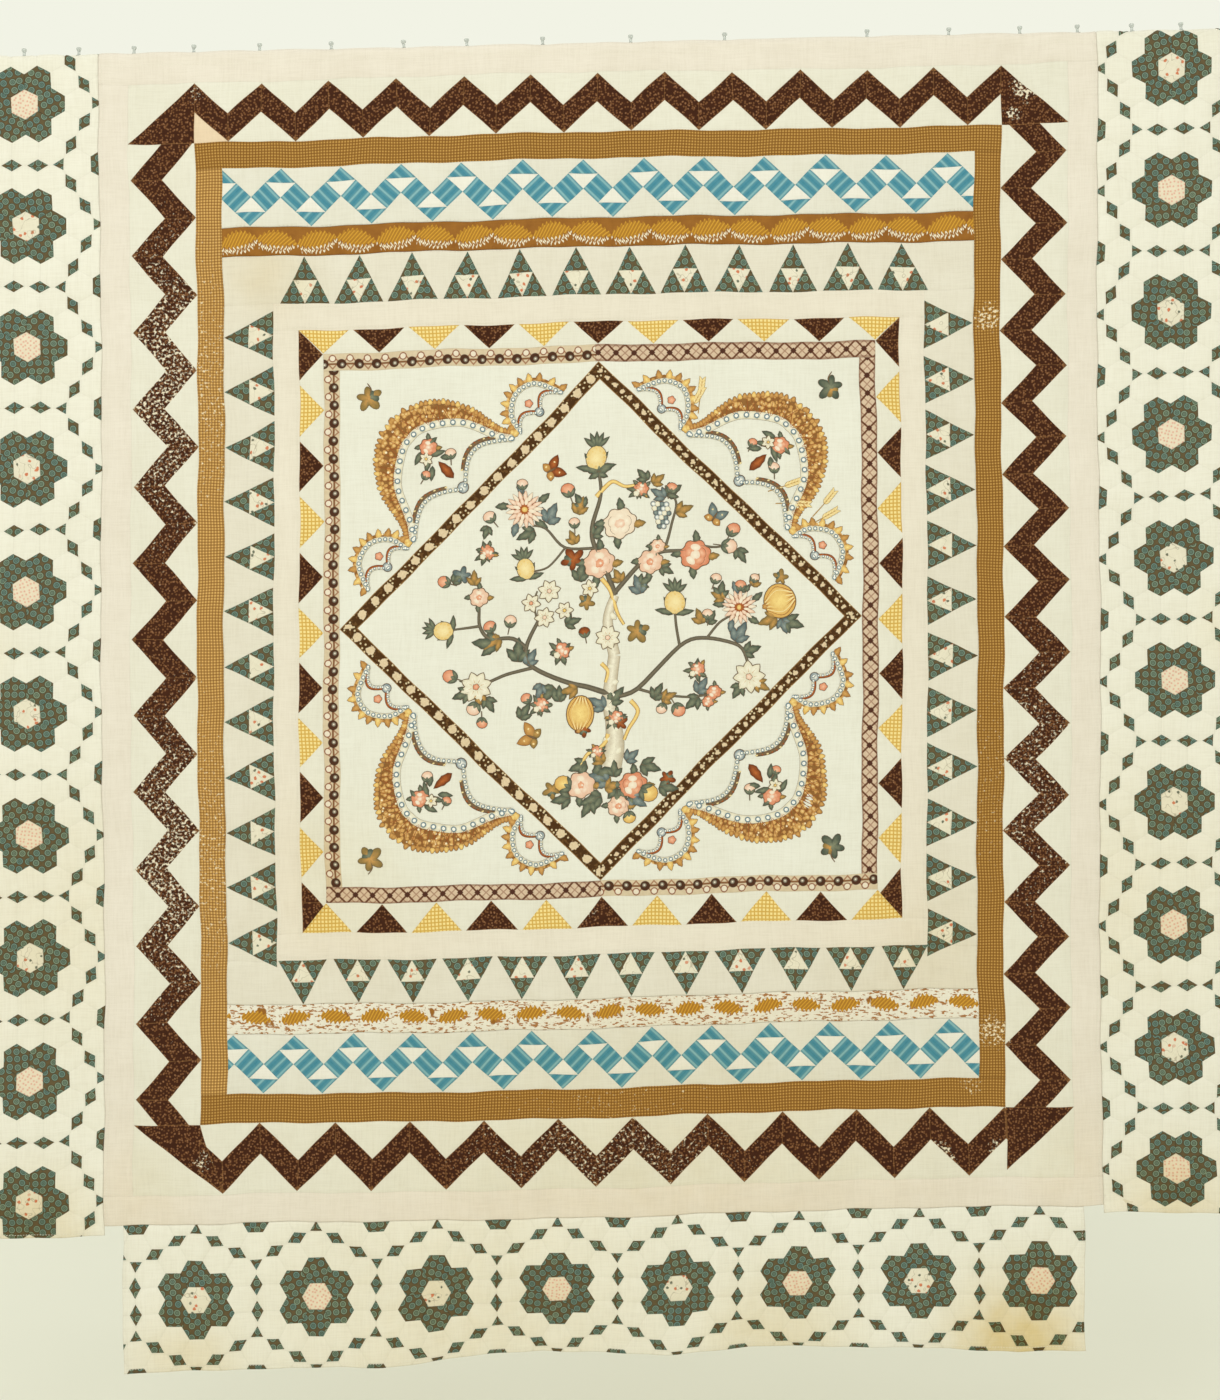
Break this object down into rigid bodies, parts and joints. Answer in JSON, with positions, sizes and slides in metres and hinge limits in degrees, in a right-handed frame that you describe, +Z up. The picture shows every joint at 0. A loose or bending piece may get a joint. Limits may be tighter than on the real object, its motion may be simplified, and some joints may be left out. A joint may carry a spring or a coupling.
{
  "type": "quilt on a display rack",
  "caption": "T-shaped pieced medallion quilt pinned over the top rail of a free-standing timber display rack, with a folding hexagon drop at its foot.",
  "frame": {"origin": "on the floor under the middle of the rack", "axes": "+X along the rails, the quilt faces -Y, +Z up"},
  "size_m": [2.44, 0.7, 2.2663],
  "materials": {
    "pine": "planed pine, clear matt sealer",
    "zinc_steel": "bright zinc plate",
    "nylon": "moulded dark nylon",
    "clear_acrylic": "clear moulded acrylic on a bright steel needle",
    "cream_cotton": "plain-weave cotton, aged cream",
    "hexagon_patchwork": "cotton hexagon patchwork, cream and green print",
    "lining_cotton": "plain-weave cotton lining",
    "brown_print": "dark brown speckled printed cotton",
    "gold_check": "woven gold and brown small check",
    "green_print": "olive and teal printed cotton on cream",
    "blue_stripe": "blue striped cotton on cream",
    "leaf_print": "brown cotton printed with golden leaves",
    "berry_print": "narrow printed cotton strip"
  },
  "bodies": {
    "rack": {"top_rail": "pine", "lower_rail": "pine", "left_upright": "pine", "left_foot": "pine", "left_front_brace": "pine", "left_rear_brace": "pine", "right_upright": "pine", "right_foot": "pine", "right_front_brace": "pine", "right_rear_brace": "pine", "left_top_bolt": "zinc_steel", "left_lower_bolt": "zinc_steel", "right_top_bolt": "zinc_steel", "right_lower_bolt": "zinc_steel", "left_top_wing_nut": "zinc_steel", "left_lower_wing_nut": "zinc_steel", "right_top_wing_nut": "zinc_steel", "right_lower_wing_nut": "zinc_steel", "left_front_glide": "nylon", "left_rear_glide": "nylon", "right_front_glide": "nylon", "right_rear_glide": "nylon", "push_pin_01": "clear_acrylic", "push_pin_02": "clear_acrylic", "push_pin_03": "clear_acrylic", "push_pin_04": "clear_acrylic", "push_pin_05": "clear_acrylic", "push_pin_06": "clear_acrylic", "push_pin_07": "clear_acrylic", "push_pin_08": "clear_acrylic", "push_pin_09": "clear_acrylic", "push_pin_10": "clear_acrylic", "push_pin_11": "clear_acrylic", "push_pin_12": "clear_acrylic", "push_pin_13": "clear_acrylic", "push_pin_14": "clear_acrylic", "push_pin_15": "clear_acrylic", "push_pin_16": "clear_acrylic", "push_pin_17": "clear_acrylic", "quilt_heading": "cream_cotton"},
    "quilt": {"centre_square": "cream_cotton", "berry_strip": "berry_print", "sawtooth_border": "brown_print", "plain_border": "cream_cotton", "pyramid_border": "green_print", "top_blue_strip": "blue_stripe", "bottom_blue_strip": "blue_stripe", "top_leaf_strip": "leaf_print", "bottom_leaf_strip": "leaf_print", "gold_check_border": "gold_check", "zigzag_border": "brown_print", "outer_border": "cream_cotton", "left_wing": "hexagon_patchwork", "right_wing": "hexagon_patchwork", "body_lining": "lining_cotton", "left_wing_lining": "lining_cotton", "right_wing_lining": "lining_cotton"},
    "drop": {"hexagon_drop": "hexagon_patchwork", "drop_lining": "lining_cotton"}
  },
  "joints": [
    {"name": "quilt_swing", "type": "hinge", "parent": "rack", "child": "quilt", "pos_m": [0, -0.0573, 2.25], "axis": [-1, 0, 0], "range_deg": [0, 25]},
    {"name": "drop_fold", "type": "hinge", "parent": "quilt", "child": "drop", "pos_m": [0, -0.061, 0.495], "axis": [-1, 0, 0], "range_deg": [0, 110]}
  ]
}
